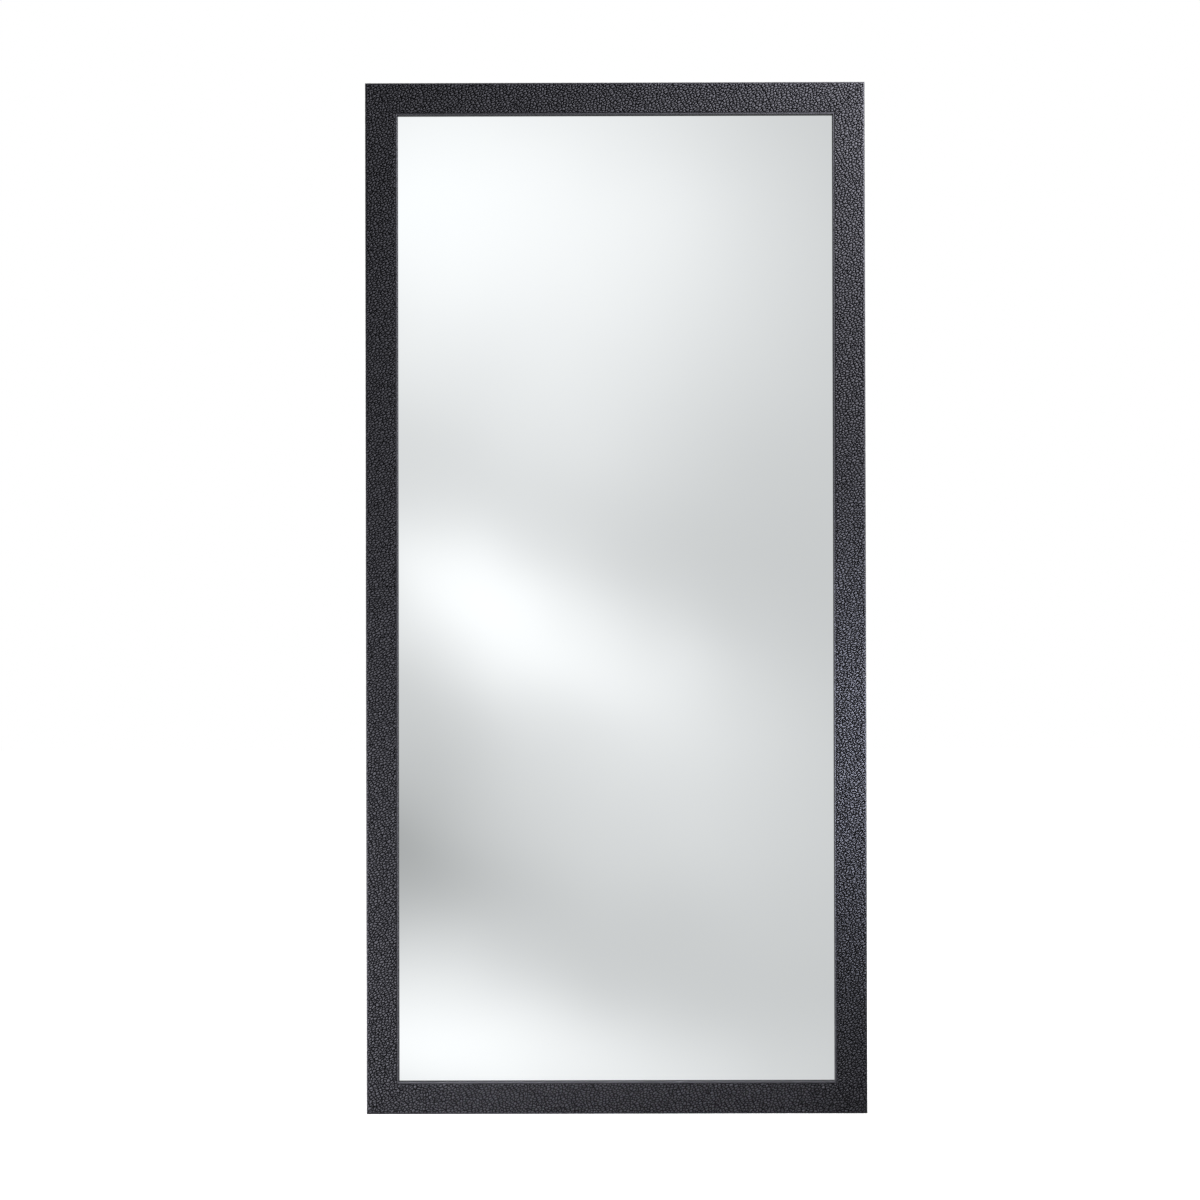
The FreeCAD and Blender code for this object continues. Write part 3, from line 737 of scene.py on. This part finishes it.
def hardboard_finish(s):
    """Smooth hardboard: dark brown, with pale fibres and a slight sheen."""
    f = Finish("hardboard")
    fibres = f.noise(f.where, 260.0, 4.0, 0.7)
    flecks = f.noise(f.where, 900.0, 2.0)
    cloud = f.noise(f.where, 4.0, 3.0)
    tone = f.mix(f.smooth(fibres, 0.3, 0.75), rgba(s.hardboard, 0.7), rgba(s.hardboard))
    tone = f.mix(f.smooth(flecks, 0.62, 0.8) * 0.5, tone, rgba(s.hardboard, 2.0))
    f.set("Base Color", f.mix(f.smooth(cloud, 0.35, 0.7) * 0.35, tone, rgba(s.hardboard, 1.35)))
    f.set("Roughness", 0.5 + fibres * 0.2)
    f.bump(fibres, 0.25, 0.15 * MM)
    return f


def card_finish(s):
    """Plain brown card."""
    f = Finish("card", Roughness=0.9)
    fibres = f.noise(f.where, 300.0, 4.0, 0.6)
    f.set("Base Color", f.mix(fibres, rgba(s.card, 0.8), rgba(s.card, 1.15)))
    f.bump(fibres, 0.3, 0.2 * MM)
    return f


# What dulling leaves of each channel of zinc's colour, and how dark the points and nails are beside it
DULLED = (0.80, 0.79, 0.74)
POINT_TONE = 0.62


def zinc_finish(colour):
    """Bright zinc plate, with the soft spangle and dulling of handled hardware."""
    f = Finish("zinc_plate", Metallic=1.0)
    spangle = f.noise(f.where, 700.0, 3.0, 0.6)
    dull = f.noise(f.where, 140.0, 3.0)
    dulled = [channel * left for channel, left in zip(colour, DULLED)]
    f.set("Base Color", f.mix(f.smooth(dull, 0.3, 0.75), rgba(colour), rgba(dulled)))
    f.set("Roughness", 0.26 + spangle * 0.12 + dull * 0.12)
    f.bump(spangle, 0.12, 0.05 * MM)
    return f


class MIRROR_OT_backing(bpy.types.Operator):
    """Finishes the boards behind the glass, the points that hold them and the V-nails in the mitres"""

    bl_idname = "mirror.backing"
    bl_label = "Finish the backing"

    def execute(self, context):
        s = context.scene.mirror_back
        paint(hardboard_finish(s), "back_board")
        paint(card_finish(s), "filler_board")
        points = [POINT_TONE * channel for channel in context.scene.mirror_hangers.zinc]
        paint(zinc_finish(points), "framing_points", "v_nails")
        return {"FINISHED"}


def lathe(profile, segments):
    """Points and faces of a closed solid turned about Y, from (radius, depth) pairs between its poles."""
    points = [(0, profile[0][1], 0)]
    for radius, depth in profile[1:-1]:
        for number in range(segments):
            angle = 2 * math.pi * number / segments
            points.append((radius * math.cos(angle), depth, radius * math.sin(angle)))
    points.append((0, profile[-1][1], 0))
    rings = len(profile) - 2
    last = len(points) - 1
    faces = []
    for number in range(segments):
        beside = (number + 1) % segments
        faces.append((0, 1 + number, 1 + beside))
        for ring in range(rings - 1):
            low, high = 1 + ring * segments, 1 + (ring + 1) * segments
            faces.append((low + number, high + number, high + beside, low + beside))
        top = 1 + (rings - 1) * segments
        faces.append((top + number, last, top + beside))
    return points, faces


# A screw's shank, as far as it is modelled, and the eased foot of its head
SHANK = 3.5 * MM
SHANK_LENGTH = 6.0 * MM
HEAD_EASE = 0.15 * MM
# The head's domed share of its height, how full the dome is, and its steps
CROWN_SHARE = 0.78
CROWN_FULLNESS = 0.75
CROWN_STEPS = 9
SCREW_SEGMENTS = 40
# The cross recess: half length and width in heads, depth in head heights, and what is left at its bottom
RECESS_ARM = 0.29
RECESS_WIDTH = 0.115
RECESS_DEPTH = 0.75
RECESS_TAPER = (0.45, 0.6)


def screw_mesh(head, height):
    """A pan-head screw with a cross recess, its head standing on the plane Y = 0."""
    crown = height * CROWN_SHARE
    profile = [(0, -SHANK_LENGTH), (SHANK / 2, -SHANK_LENGTH), (SHANK / 2, 0)]
    profile += [(head / 2 - HEAD_EASE, 0), (head / 2, HEAD_EASE), (head / 2, height - crown)]
    for number in range(1, CROWN_STEPS):
        angle = math.radians(90 * number / CROWN_STEPS)
        radius = head / 2 * math.cos(angle) ** CROWN_FULLNESS
        profile.append((radius, height - crown + crown * math.sin(angle)))
    profile.append((0, height))
    mesh = mesh_from("screw", *lathe(profile, SCREW_SEGMENTS))
    clean(mesh, 35)
    body = new_object("screw", mesh)
    arm, wide, deep = head * RECESS_ARM, head * RECESS_WIDTH, height * RECESS_DEPTH
    cutters = []
    for turn in (0, 90):
        top = [(sx * arm, height * 1.2, sz * wide / 2) for sx, sz in SQUARE]
        low = [(RECESS_TAPER[0] * x, height - deep, RECESS_TAPER[1] * z) for x, _, z in top]
        sides = [(n, (n + 1) % 4, 4 + (n + 1) % 4, 4 + n) for n in range(4)]
        cutter = mesh_from("recess", top + low, [(3, 2, 1, 0), (4, 5, 6, 7), *sides])
        cutter.transform(Matrix.Rotation(math.radians(turn), 4, "Y"))
        clean(cutter, 30)
        cutters.append(new_object("recess", cutter))
        cut = body.modifiers.new("recess", "BOOLEAN")
        cut.operation = "DIFFERENCE"
        cut.solver = "EXACT"
        cut.object = cutters[-1]
    result = evaluated(body)
    result.set_sharp_from_angle(angle=math.radians(35))
    for leftover in (body, *cutters):
        bpy.data.objects.remove(leftover)
    return result


def screws_tree():
    """Copies of one screw at given places, each turned about its axis as it happened to be driven."""
    nodes, given = geometry_tree("screws", {"Object": ["Screw", "Places"], "Int": ["Seed"]})
    whole = {"Object": given["Screw"], "As Instance": True}
    screw = nodes.get("GeometryNodeObjectInfo", "Geometry", inputs=whole)
    places = nodes.get("GeometryNodeObjectInfo", "Geometry", inputs={"Object": given["Places"]})
    half_turn = {2: 0.0, 3: math.pi, "Seed": given["Seed"]}
    spin = nodes.get("FunctionNodeRandomValue", 1, {"data_type": "FLOAT"}, half_turn)
    driven = nodes.get("GeometryNodeInstanceOnPoints", inputs={
        "Points": places,
        "Instance": screw,
        "Rotation": nodes.join(0.0, spin, 0.0),
    })
    close_tree(nodes, driven, given["Material"])
    return nodes


def wire_tree():
    """Round wire along a path."""
    nodes, given = geometry_tree("bent wire", {"Object": ["Path"], "Float": ["Wire"], "Int": ["Sides"]})
    path = nodes.get("GeometryNodeObjectInfo", "Geometry", inputs={"Object": given["Path"]})
    circle = {"Resolution": given["Sides"], "Radius": given["Wire"] / 2}
    round_ = nodes.get("GeometryNodeCurvePrimitiveCircle", inputs=circle)
    swept = nodes.get("GeometryNodeCurveToMesh", inputs={"Curve": path, "Profile Curve": round_})
    close_tree(nodes, swept, given["Material"])
    return nodes


def ring_path(s, low, high):
    """The ring's centreline as a closed curve, from the box of its node."""
    half = (high.x - low.x - s.wire) / 2
    middle, depth = (low.x + high.x) / 2, (low.y + high.y) / 2
    bar = low.z + s.wire / 2
    bow = high.z - s.wire / 2 - half
    corner = s.ring_corner
    outline = arc((half - corner, bar + corner), corner, -90, 0, 10)
    outline += arc((0, bow), half, 0, 180, 48)
    outline += arc((corner - half, bar + corner), corner, 180, 270, 10)
    return closed_curve("ring_path", "3D", [(middle + across, depth, height) for across, height in outline])


# Room round the wire in the strap's eye, the bend below the eye, and the spacing of the strap's rows
EYE_CLEARANCE = 0.3 * MM
STRAP_BEND = 1.2 * MM
STRAP_STEP = 3.0 * MM
# Rows in each tail corner
CORNER_ROWS = 8


def strap_mesh(s, low, high):
    """A strip of sheet folded round an eye: one leaf up, round the eye, and back down on the first."""
    half = (high.x - low.x) / 2
    across = (low.x + high.x) / 2
    eye_outer = (high.y - low.y) / 2
    leaf = eye_outer - s.wire / 2 - EYE_CLEARANCE
    eye = (low.y + eye_outer, high.z - eye_outer)
    roll = eye_outer - leaf / 2
    bend = STRAP_BEND
    first, second = low.y + leaf / 2, low.y + 1.5 * leaf
    corner = s.strap_corner
    tail = low.z + corner
    drop = math.sqrt((roll + bend) ** 2 - (second + bend - eye[0]) ** 2)
    meet = math.degrees(math.atan2(-drop, second + bend - eye[0]))
    route = [(first, low.z)]
    route += run((first, low.z), (first, tail), corner / CORNER_ROWS)
    route += run((first, tail), (first, eye[1]), STRAP_STEP)
    route += arc(eye, roll, 180, meet, 32)
    route += arc((second + bend, eye[1] - drop), bend, meet + 180, 180, 8)[1:]
    route += run(route[-1], (second, tail), STRAP_STEP)
    route += run((second, tail), (second, low.z), corner / CORNER_ROWS)
    route.append((second, low.z))
    points = []
    for number, (depth, height) in enumerate(route):
        before, after = route[max(number - 1, 0)], route[min(number + 1, len(route) - 1)]
        along = Vector((after[0] - before[0], after[1] - before[1])).normalized()
        side = Vector((-along.y, along.x)) * s.sheet / 2
        cut = max(0.0, tail - height)
        wide = half - corner + math.sqrt(max(corner**2 - cut**2, 0.0))
        for x, way in ((-wide, 1), (wide, 1), (wide, -1), (-wide, -1)):
            points.append((across + x, depth + way * side.x, height + way * side.y))
    faces = [(0, 1, 2, 3)]
    for row in range(len(route) - 1):
        base = 4 * row
        for edge in range(4):
            beside = (edge + 1) % 4
            faces.append((base + edge, base + beside, base + 4 + beside, base + 4 + edge))
    end = 4 * (len(route) - 1)
    faces.append((end + 3, end + 2, end + 1, end))
    mesh = mesh_from("strap", points, faces)
    clean(mesh, 35)
    return mesh


# The strap's eased edges
STRAP_EASE = 0.18 * MM


def bevelled(name, mesh):
    """A strap's mesh as a piece, with its sharp edges eased by a small bevel."""
    piece = new_object(name, mesh)
    ease = piece.modifiers.new("ease", "BEVEL")
    ease.width = STRAP_EASE
    ease.segments = 2
    ease.limit_method = "ANGLE"
    ease.angle_limit = math.radians(50)
    result = evaluated(piece)
    piece.modifiers.clear()
    piece.data = result
    clean(result, 40)
    return piece


# Sides of the ring's round wire, and the strap's two leaves under a screw
WIRE_SIDES = 24
LEAVES = 2.0 * MM


class MIRROR_OT_hangers(bpy.types.Operator):
    """Makes the folded straps, the round-wire rings and the cross-recess screws"""

    bl_idname = "mirror.hangers"
    bl_label = "Make the hangers"

    def execute(self, context):
        s = context.scene.mirror_hangers
        zinc = zinc_finish(s.zinc)
        wire = wire_tree()
        for side in ("left", "right"):
            low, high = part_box(f"hanger_strap_{side}")
            strap = bevelled(f"{side}_strap", strap_mesh(s, low, high))
            strap.data.materials.append(zinc.material)
            settle(strap, "frame", "steel", f"hanger_strap_{side}")
            path = ring_path(s, *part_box(f"hanger_ring_{side}"))
            inputs = {"Path": path, "Wire": s.wire, "Sides": WIRE_SIDES, "Material": zinc.material}
            ring = bake(f"{side}_ring_wire", wire, inputs)
            clean(ring.data, 60)
            bpy.data.objects.remove(path)
            settle(ring, f"{side}_ring", "steel", f"hanger_ring_{side}")
        self.drive_screws(s, zinc)
        return {"FINISHED"}

    @staticmethod
    def drive_screws(s, zinc):
        low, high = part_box("hanger_screws")
        strap_low, strap_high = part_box("hanger_strap_right")
        across = (strap_low.x + strap_high.x) / 2
        head = 2 * (high.x - across)
        seat = CORE_BACK + LEAVES
        height = high.y - seat
        places = [(x, seat, z) for x in (-across, across) for z in (low.z + head / 2, high.z - head / 2)]
        spots = new_object("screw_places", mesh_from("screw_places", places, []))
        master = new_object("screw", screw_mesh(head, height))
        inputs = {"Screw": master, "Places": spots, "Seed": s.seed, "Material": zinc.material}
        screws = bake("hanger_screw_set", screws_tree(), inputs)
        for leftover in (master, spots):
            bpy.data.objects.remove(leftover)
        settle(screws, "frame", "steel", "hanger_screws")


def rubber_finish(s):
    """Dark rubber, matt, with a fine moulded skin."""
    f = Finish("bumper_rubber")
    skin = f.noise(f.where, 1300.0, 3.0)
    f.set("Base Color", f.mix(skin, rgba(s.rubber), rgba(s.rubber, 1.5)))
    f.set("Roughness", 0.55 + skin * 0.25)
    f.bump(skin, 0.3, 0.08 * MM)
    return f


# A bumper's rounded wall end, its eased foot and its segments
BUMPER_ROUND = 1.0 * MM
BUMPER_FOOT = 0.2 * MM
BUMPER_SEGMENTS = 48


def bumper_mesh(name, low, high):
    """A round pad that fills its box, its foot on the frame and its rounded end to the wall."""
    radius, height = (high.x - low.x) / 2, high.y - low.y
    profile = [(0, 0), (radius - BUMPER_FOOT, 0), (radius, BUMPER_FOOT)]
    profile += arc((radius - BUMPER_ROUND, height - BUMPER_ROUND), BUMPER_ROUND, 0, 90, 6)
    profile += [(radius / 2, height), (0, height)]
    mesh = mesh_from(name, *lathe(profile, BUMPER_SEGMENTS))
    mesh.transform(Matrix.Translation(((low.x + high.x) / 2, low.y, (low.z + high.z) / 2)))
    clean(mesh, 50)
    return mesh


class MIRROR_OT_bumpers(bpy.types.Operator):
    """Makes the four rubber wall bumpers"""

    bl_idname = "mirror.bumpers"
    bl_label = "Make the bumpers"

    def execute(self, context):
        finish = rubber_finish(context.scene.mirror_back)
        for corner in ("top_left", "top_right", "bottom_left", "bottom_right"):
            node, name = f"wall_bumper_{corner}", f"{corner}_bumper"
            mesh = bumper_mesh(name, *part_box(node))
            mesh.materials.append(finish.material)
            settle(new_object(name, mesh), "frame", "bumper", node)
        return {"FINISHED"}


# Soft patches of light that the mirror faces: place across and up, reach, turn in degrees and strength
PATCHES = (
    ((-0.36, 0.66), (0.30, 0.34), 0, 0.40),
    ((0.00, 0.62), (0.24, 0.28), 0, 0.20),
    ((0.24, 0.56), (0.26, 0.30), 0, 0.06),
    ((-0.10, 0.27), (0.20, 0.17), 0, 0.10),
    ((-0.30, 0.04), (0.21, 0.12), -15, 0.29),
    ((-0.06, -0.06), (0.28, 0.12), -20, 0.27),
    ((0.00, -0.28), (0.36, 0.16), -10, 0.10),
    ((-0.42, -0.38), (0.18, 0.14), -15, -0.20),
    ((-0.32, -0.70), (0.28, 0.13), -15, 0.41),
    ((0.06, -0.74), (0.24, 0.09), -10, 0.16),
)
PATCH_COLOUR = (0.985, 0.99, 1.0)
# How unevenly the patches lie and glow
PATCH_DRIFT = 0.2
PATCH_GLOW = 0.06
# The studio round them
STUDIO_LEVEL = 0.64
STUDIO_COLOUR = (0.972, 0.992, 1.0)
WHITE = (1.0, 1.0, 1.0)


def background(nodes, colour, strength):
    return nodes.get("ShaderNodeBackground", inputs={"Color": rgba(colour), "Strength": strength})


def studio_world(s):
    """White to the camera, a pale studio with soft patches of light to the mirror, even to all else."""
    world = bpy.data.worlds.new("studio")
    world.use_nodes = True
    nodes = Nodes(world.node_tree)
    nodes.tree.nodes.clear()
    direction = nodes.get("ShaderNodeTexCoord", "Generated")
    x, y, z = nodes.split(direction)
    ahead = nodes.math("MAXIMUM", -y, 0.05)
    across = x / ahead * s.distance
    up = z / ahead * s.distance
    drift = nodes.noise(direction, 9.0, 2.0) - 0.5
    glow = drift * PATCH_GLOW
    for (place_x, place_z), (reach_long, reach_wide), turn, strength in PATCHES:
        slant_x, slant_z = math.cos(math.radians(turn)), math.sin(math.radians(turn))
        dx = across - place_x + drift * PATCH_DRIFT
        dz = up - place_z + drift * PATCH_DRIFT
        long = (dx * slant_x + dz * slant_z) / reach_long
        wide = (dz * slant_x - dx * slant_z) / reach_wide
        glow = nodes.math("EXPONENT", -(long * long + wide * wide)) * strength + glow
    front = nodes.smooth(-y, -0.1, 0.95, s.surround, 1.0)
    behind = nodes.smooth(y, 0.2, 0.95, 0.0, 1.0 - s.surround)
    rays = nodes.add("ShaderNodeLightPath").outputs
    base = background(nodes, STUDIO_COLOUR, (front + behind) * STUDIO_LEVEL)
    patches = background(nodes, PATCH_COLOUR, glow)
    seen = nodes.get("ShaderNodeAddShader", inputs={0: base, 1: patches})
    even = background(nodes, WHITE, s.ambient)
    white = background(nodes, WHITE, 1.0)
    mirrored = nodes.math("MAXIMUM", rays["Is Glossy Ray"], rays["Is Transmission Ray"])
    lit = nodes.get("ShaderNodeMixShader", inputs={0: mirrored, 1: even, 2: seen})
    shown = nodes.get("ShaderNodeMixShader", inputs={0: rays["Is Camera Ray"], 1: lit, 2: white})
    nodes.add("ShaderNodeOutputWorld", inputs={"Surface": shown})
    bpy.context.scene.world = world


# The floor's half width, its tone to the camera, and what it throws back on the frame
FLOOR_REACH = 14.0
FLOOR_TONES = (0.50, 0.52)
FLOOR_BOUNCE = 0.16
# Distances between which the floor turns white, and how white it is near the frame
WHITENING = (0.5, 2.5)
NEAR_WHITE = 0.72


def pale_floor():
    """A white floor under the frame's lower edge, which keeps the mirror's shadow."""
    corners = [(x * FLOOR_REACH, y * FLOOR_REACH, FRAME_LOW.z) for x, y in SQUARE]
    floor = new_object("floor", mesh_from("floor", corners, [(0, 1, 2, 3)]))
    f = Finish("pale_floor", Roughness=0.9, Specular_IOR_Level=0.0, Emission_Strength=1.0)
    seen = f.get("ShaderNodeLightPath", "Is Camera Ray")
    pale = f.mix(f.noise(f.where, 1.5), *[rgba(WHITE, tone) for tone in FLOOR_TONES])
    f.set("Base Color", f.mix(seen, rgba(WHITE, FLOOR_BOUNCE), pale))
    x, y, z = f.split(f.where)
    distance = f.math("SQRT", x * x + y * y)
    whitened = f.smooth(distance, *WHITENING, NEAR_WHITE, 1.0) * seen
    f.set("Emission Color", f.mix(whitened, rgba(WHITE, 0.0), rgba(WHITE)))
    floor.data.materials.append(f.material)
    floor.visible_glossy = False


def lamp(name, place, aim, size, power, spread=180):
    """A rectangular lamp that shows neither to the camera nor in the mirror; its spread is in degrees."""
    light = bpy.data.lights.new(name, "AREA")
    light.shape = "RECTANGLE"
    light.size, light.size_y = size
    light.energy = power
    light.spread = math.radians(spread)
    made = new_object(name, light)
    made.location = place
    made.rotation_euler = (Vector(aim) - Vector(place)).to_track_quat("-Z", "Y").to_euler()
    made.visible_camera = False
    made.visible_glossy = False
    return made


# The cool light on the lower right
SIDE_COLOUR = (0.86, 0.91, 1.0)
# The camera's sensor, the picture's width and where the frame's middle lies in it, in pixels
SENSOR = 36.0
PICTURE = 1200
CENTRE = (615.86, 597.55)


class MIRROR_OT_stage(bpy.types.Operator):
    """Sets the floor, the light and the camera"""

    bl_idname = "mirror.stage"
    bl_label = "Set the stage"

    def execute(self, context):
        s = context.scene.mirror_stage
        studio_world(s)
        pale_floor()
        self.set_lamps(s)
        self.set_camera(context, s)
        context.scene.view_settings.view_transform = "Standard"
        return {"FINISHED"}

    @staticmethod
    def set_lamps(s):
        stile = HALF_WIDTH - FACE_WIDTH / 2
        lamp("key", (1.15, -0.52, MIDDLE + 1.05), (stile, 0, MIDDLE + 0.68), (0.25, 0.25), s.key)
        side = lamp("side", (1.0, -0.85, MIDDLE - 0.2), (stile, 0, MIDDLE - 0.25), (0.2, 0.25), s.side, 50)
        side.data.color = SIDE_COLOUR
        lamp("fill", (-1.1, -0.45, MIDDLE - 0.58), (-stile, 0, MIDDLE - 0.6), (0.25, 0.25), s.fill)
        foot = (0, COVER_FRONT, FRAME_LOW.z)
        lamp("overhead", (0, -0.9, MIDDLE + 0.9), foot, (0.7, 0.1), s.overhead, 10)
        for name, x in (("rear_left", -1.3), ("rear_right", 1.3)):
            lamp(name, (x, 1.6, MIDDLE + 0.9), (0, 0, MIDDLE), (1.2, 1.2), s.rear)

    @staticmethod
    def set_camera(context, s):
        camera = bpy.data.cameras.new("camera")
        camera.sensor_width = SENSOR
        camera.lens = SENSOR * s.distance / s.view_width
        camera.shift_x = (PICTURE / 2 - CENTRE[0]) / PICTURE
        camera.shift_y = (CENTRE[1] - PICTURE / 2) / PICTURE
        made = new_object("camera", camera)
        made.location = (
            s.distance * math.tan(s.pan),
            COVER_FRONT - s.distance,
            MIDDLE - s.distance * math.tan(s.tilt),
        )
        upright = Matrix.Rotation(s.pan, 4, "Z") @ Matrix.Rotation(math.radians(90) + s.tilt, 4, "X")
        made.rotation_euler = (upright @ Matrix.Rotation(s.roll, 4, "Z")).to_euler()
        context.scene.camera = made


OPERATORS = (
    MIRROR_OT_covering,
    MIRROR_OT_moulding,
    MIRROR_OT_glazing,
    MIRROR_OT_backing,
    MIRROR_OT_hangers,
    MIRROR_OT_bumpers,
    MIRROR_OT_stage,
)


class MIRROR_PT_panel(bpy.types.Panel):
    bl_label = "Full-length mirror"
    bl_space_type = "VIEW_3D"
    bl_region_type = "UI"
    bl_category = "Mirror"

    def draw(self, context):
        for operator in OPERATORS:
            self.layout.operator(operator.bl_idname)
        for group, kind in GROUPS.items():
            column = self.layout.column(align=True)
            for name in kind.__annotations__:
                column.prop(getattr(context.scene, group), name)


def register():
    for kind in (*GROUPS.values(), *OPERATORS, MIRROR_PT_panel):
        bpy.utils.register_class(kind)
    for name, kind in GROUPS.items():
        setattr(bpy.types.Scene, name, bpy.props.PointerProperty(type=kind))


def unregister():
    for name in GROUPS:
        delattr(bpy.types.Scene, name)
    for kind in (MIRROR_PT_panel, *OPERATORS, *GROUPS.values()):
        bpy.utils.unregister_class(kind)


def main():
    register()
    bpy.ops.mirror.covering()
    bpy.ops.mirror.moulding()
    bpy.ops.mirror.glazing()
    bpy.ops.mirror.backing()
    bpy.ops.mirror.hangers()
    bpy.ops.mirror.bumpers()
    bpy.ops.mirror.stage()


if __name__ == "__main__":
    main()
